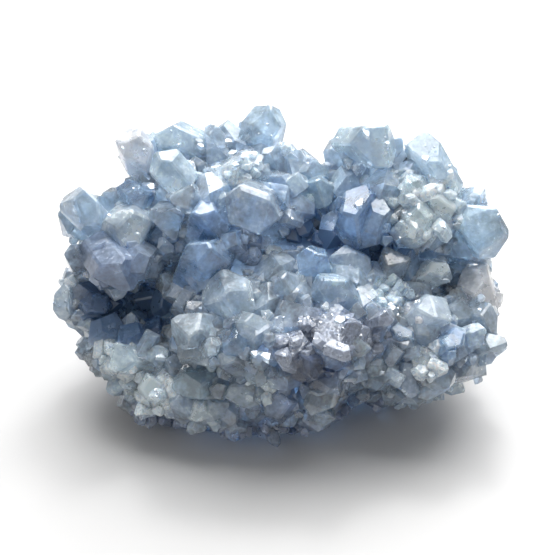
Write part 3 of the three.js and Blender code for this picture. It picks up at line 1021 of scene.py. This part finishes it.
class Shells:
    """Many small closed shells, gathered into one mesh."""

    lowest: float = 0.01 * MM

    def __init__(self, name: str) -> None:
        """Start an empty piece.

        Args:
            name: The piece's name.
        """
        self.name = name
        self.corners: list[np.ndarray] = []
        self.faces: list[tuple[int, ...]] = []
        self.looks: tuple[list[np.ndarray], ...] = ([], [], [])
        self.count = 0

    def add(self, model: Model, stretch: np.ndarray, stand: Quaternion, seat: Vector, looks: Looks) -> None:
        """Copy a model to its seat, no part of it under the floor.

        Args:
            model: The model.
            stretch: How much it is stretched each way.
            stand: How it is turned.
            seat: Where its origin goes.
            looks: How it looks.
        """
        corners, faces = model
        placed = (corners * stretch) @ np.array(stand.to_matrix()).T + np.array(seat)
        placed[:, 2] = np.maximum(placed[:, 2], self.lowest)
        self.corners.append(placed)
        self.faces.extend(tuple(corner + self.count for corner in face) for face in faces)
        self.count += len(placed)
        for values, value in zip(self.looks, looks):
            values.append(np.tile(value, len(placed)))

    def build(self, finish: bpy.types.Material) -> bpy.types.Object:
        """Make the piece.

        Args:
            finish: Its material.

        Returns:
            The piece.
        """
        mesh = bpy.data.meshes.new(self.name)
        mesh.from_pydata(np.concatenate(self.corners).tolist(), [], self.faces)
        write_looks(mesh, *(np.concatenate(values) for values in self.looks))
        mesh.materials.append(finish)
        piece = bpy.data.objects.new(self.name, mesh)
        bpy.context.scene.collection.objects.link(piece)
        mesh.calc_loop_triangles()
        log.info("%s: %d shells, %d triangles", self.name, len(self.corners), len(mesh.loop_triangles))
        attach(piece, BODY)
        return piece


@dataclass(frozen=True)
class Seat:
    """Where one small crystal stands."""

    point: Vector
    lean: Vector
    width: float
    looks: Looks
    model: Model


@dataclass
class Druse:
    """The small crystals and grains that grow over the whole surface and in its seams."""

    surface: Surface
    models: dict[Form, list[Model]]
    finishes: dict[Growth, bpy.types.Material]
    tries: int = 12000
    reach: float = 3 * MM
    seam: float = 0.06
    wide_reach: float = 8 * MM
    dip: float = 0.03
    lean: float = 0.5
    sunk: float = 0.2
    rough_below: float = 9 * MM
    overhang: float = -0.6
    large_above: float = 38 * MM
    base_top: float = 1 * MM
    base_slope: float = -0.95
    side_reach: float = 0.45
    tip_reach: float = 0.8
    tint_span: Pair = (0.9, 1.06)
    stretch: Pair = (0.85, 1.2)
    seed: int = 11

    def build(self) -> list[bpy.types.Object]:
        """Grow the cover, one piece for each kind of growth."""
        return [
            self.planted(f"{growth.name.lower()}_druse", seats, self.finishes[growth])
            for growth, seats in self.grown().items()
            if seats
        ]

    def growth_at(self, point: Vector) -> tuple[Growth, Tint]:
        """What grows at a point.

        Args:
            point: The point.

        Returns:
            The kind of growth and its tint.
        """
        patch = self.surface.patch_at(point)
        if patch:
            return patch.growth, patch.tint
        if point.z < self.rough_below:
            return Growth.ROUGH, Tint.SMOKY
        return (Growth.LARGE if point.z > self.large_above else Growth.MEDIUM), Tint.PALE

    def grown(self) -> dict[Growth, list[Seat]]:
        """Choose the seats: a try is taken where its kind of growth lets a crystal stand, if it has room.

        Returns:
            The seats for each kind of growth.
        """
        chance = np.random.default_rng(self.seed)
        points, normals = self.surface.scattered(self.tries, chance)
        seams = hollowness(points, normals, self.reach) > self.seam
        dips = hollowness(points, normals, self.wide_reach) > self.dip
        taken = np.empty((self.tries, 4))
        count = 0
        seats = {growth: [] for growth in Growth}
        for place, normal, seam, dip in zip(points, normals, seams, dips):
            point = Vector(place)
            if normal[2] < self.base_slope and point.z < self.base_top:
                continue
            growth, tint = self.growth_at(point)
            cover = COVERS[growth]
            likely = cover.in_seams if seam else cover.in_dips if dip else cover.on_faces
            if chance.random() > likely:
                continue
            width = chance.uniform(*cover.width)
            lean = (Vector(normal) + Vector(chance.uniform(-self.lean, self.lean, 3))).normalized()
            if growth is Growth.ROUGH and normal[2] < self.overhang:
                continue
            reach = self.side_reach - self.side_reach * abs(lean.z) - self.tip_reach * min(lean.z, 0)
            if point.z < width * reach:
                continue
            gaps = np.linalg.norm(taken[:count, :3] - place, axis=1)
            if (gaps < cover.crowding * (taken[:count, 3] + width) / 2).any():
                continue
            taken[count] = (*place, width)
            count += 1
            models = self.models[Form.GRAIN if chance.random() < cover.grains else Form.CRYSTAL]
            veil, frost = chance.uniform(*cover.veil), chance.uniform(*cover.frost)
            shade = tuple(np.array(tint.value) * chance.uniform(*self.tint_span))
            model = models[int(chance.integers(len(models)))]
            seats[growth].append(Seat(point, lean, width, (veil, frost, shade), model))
        return seats

    def planted(self, name: str, seats: list[Seat], finish: bpy.types.Material) -> bpy.types.Object:
        """Copy the models to their seats, joined in one mesh.

        Args:
            name: The piece's name.
            seats: Where they stand.
            finish: Its material.

        Returns:
            The piece.
        """
        chance = np.random.default_rng(self.seed)
        shells = Shells(name)
        for seat in seats:
            stand = turned_about(seat.lean, chance)
            sunk = seat.point - seat.lean * seat.width * self.sunk
            stretch = seat.width * chance.uniform(*self.stretch, 3)
            shells.add(seat.model, stretch, stand, sunk, seat.looks)
        return shells.build(finish)


@dataclass
class FeatureCrystals:
    """The crystals that stand out in the photograph, half sunk in the solid's own large crystals. Those in
    the hollow and the cleft are tinted dark, as painted shade.
    """

    surface: Surface
    models: list[Model]
    finish: bpy.types.Material
    lean: float = 0.35
    stretch: Pair = (0.95, 1.15)
    seed: int = 31

    def build(self) -> bpy.types.Object:
        """Stand each one where it shows.

        Returns:
            The piece.
        """
        shells = Shells("feature_crystals")
        for block in BLOCKS:
            chance = np.random.default_rng((self.seed, block.across, block.down))
            hit = self.surface.seen(block.across, block.down)
            if hit is None:
                log.info("no seat for the crystal at %d, %d", block.across, block.down)
                continue
            point, normal = hit
            width = block.width * self.surface.view.metres_per_pixel
            lean = (normal + Vector(chance.uniform(-self.lean, self.lean, 3))).normalized()
            stand = turned_about(lean, chance)
            kind = self.models[int(chance.integers(len(self.models)))]
            seat = point - self.surface.view.sight(block.across, block.down) * width * block.near
            stretch = width * chance.uniform(*self.stretch, 3)
            shells.add(kind, stretch, stand, seat, (block.veil, 0.0, block.tint.value))
        return shells.build(self.finish)


@dataclass
class Glints:
    """Small flat crystal ends that catch the lamp, as seen from the photograph's side."""

    surface: Surface
    models: list[Model]
    finish: bpy.types.Material
    lamp: Vector
    scattered: int = 1800
    area: tuple[Pair, Pair] = ((50, 110), (510, 440))
    width: Pair = (0.35 * MM, 1.0 * MM)
    stretch: Pair = (0.6, 1.3)
    lean: float = 0.04
    facing: float = 0.5
    proud: float = 0.25
    veil: float = 0.5
    on_patches: float = 0.06
    elsewhere: float = 0.18
    seed: int = 23

    def build(self, pieces: list[bpy.types.Object]) -> bpy.types.Object:
        """Add them where a ray from the eye meets the crystals.

        Args:
            pieces: The crystals that are already there.

        Returns:
            The piece.
        """
        tree = self.tree_of(pieces)
        view = self.surface.view
        chance = np.random.default_rng(self.seed)
        shells = Shells("glint_ends")
        rays = [(glint, True) for glint in GLINTS]
        for _ in range(self.scattered):
            rays.append((Glint(*chance.uniform(*self.area), chance.uniform(*self.width)), False))
        for glint, listed in rays:
            point, normal, _, _ = tree.ray_cast(view.eye, view.sight(glint.across, glint.down))
            if point is None:
                continue
            half = ((view.eye - point).normalized() + (self.lamp - point).normalized()).normalized()
            if not listed and (normal.dot(half) < self.facing or chance.random() > self.share(point)):
                continue
            half = (half + Vector(chance.uniform(-self.lean, self.lean, 3))).normalized()
            stand = turned_about(half, chance)
            kind = self.models[int(chance.integers(len(self.models)))]
            seat = point + half * glint.width * self.proud
            stretch = glint.width * chance.uniform(*self.stretch, 3)
            shells.add(kind, stretch, stand, seat, (self.veil, 0.0, Tint.PALE.value))
        return shells.build(self.finish)

    def share(self, point: Vector) -> float:
        """How likely a scattered glint is at a point.

        Args:
            point: The point.

        Returns:
            The likelihood.
        """
        patch = self.surface.patch_at(point)
        if patch is None:
            return self.elsewhere
        return {Growth.FINE: 1.0, Growth.HOLLOW: 0.0}.get(patch.growth, self.on_patches)

    def tree_of(self, pieces: list[bpy.types.Object]) -> BVHTree:
        """The pieces' triangles, to cast rays at.

        Args:
            pieces: The pieces.

        Returns:
            The tree.
        """
        corners, faces = [], []
        for piece in pieces:
            start = len(corners)
            corners.extend(vertex.co.copy() for vertex in piece.data.vertices)
            faces.extend([corner + start for corner in face.vertices] for face in piece.data.polygons)
        return BVHTree.FromPolygons(corners, faces)


def main() -> None:
    """Build the scene."""
    logging.basicConfig(level=logging.INFO, format="%(message)s")
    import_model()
    view = View()
    view.build()
    studio = Studio()
    studio.build()
    surface = Surface(bpy.data.objects[NODE], view)
    clear = Celestite("clear_celestite").build()
    finishes = {
        Growth.LARGE: clear,
        Growth.MEDIUM: Celestite("clouded_celestite", cloudy_colour=(0.63, 0.76, 0.93)).build(),
        Growth.FINE: Celestite(
            "white_celestite", clear=0.6, cloudy=0.25, sparkle=0.6, cloudy_colour=(0.78, 0.88, 0.99)
        ).build(),
        Growth.ROUGH: Celestite(
            "foot_celestite", clear=0.7, cloudy=0.4, cloudy_colour=(0.54, 0.58, 0.70)
        ).build(),
        Growth.HOLLOW: Celestite("deep_celestite", clear=0.4, cloudy=0.25).build(),
    }
    models = CrystalForms().build()
    pieces = [LargeCrystals(surface, clear).build()]
    pieces.append(FeatureCrystals(surface, models[Form.BLOCK], clear).build())
    pieces += Druse(surface, models, finishes).build()
    glint = Celestite("glinting_celestite", sparkle=0.05).build()
    Glints(surface, models[Form.CHIP], glint, Vector(studio.panel_place)).build(pieces)


if __name__ == "__main__":
    main()
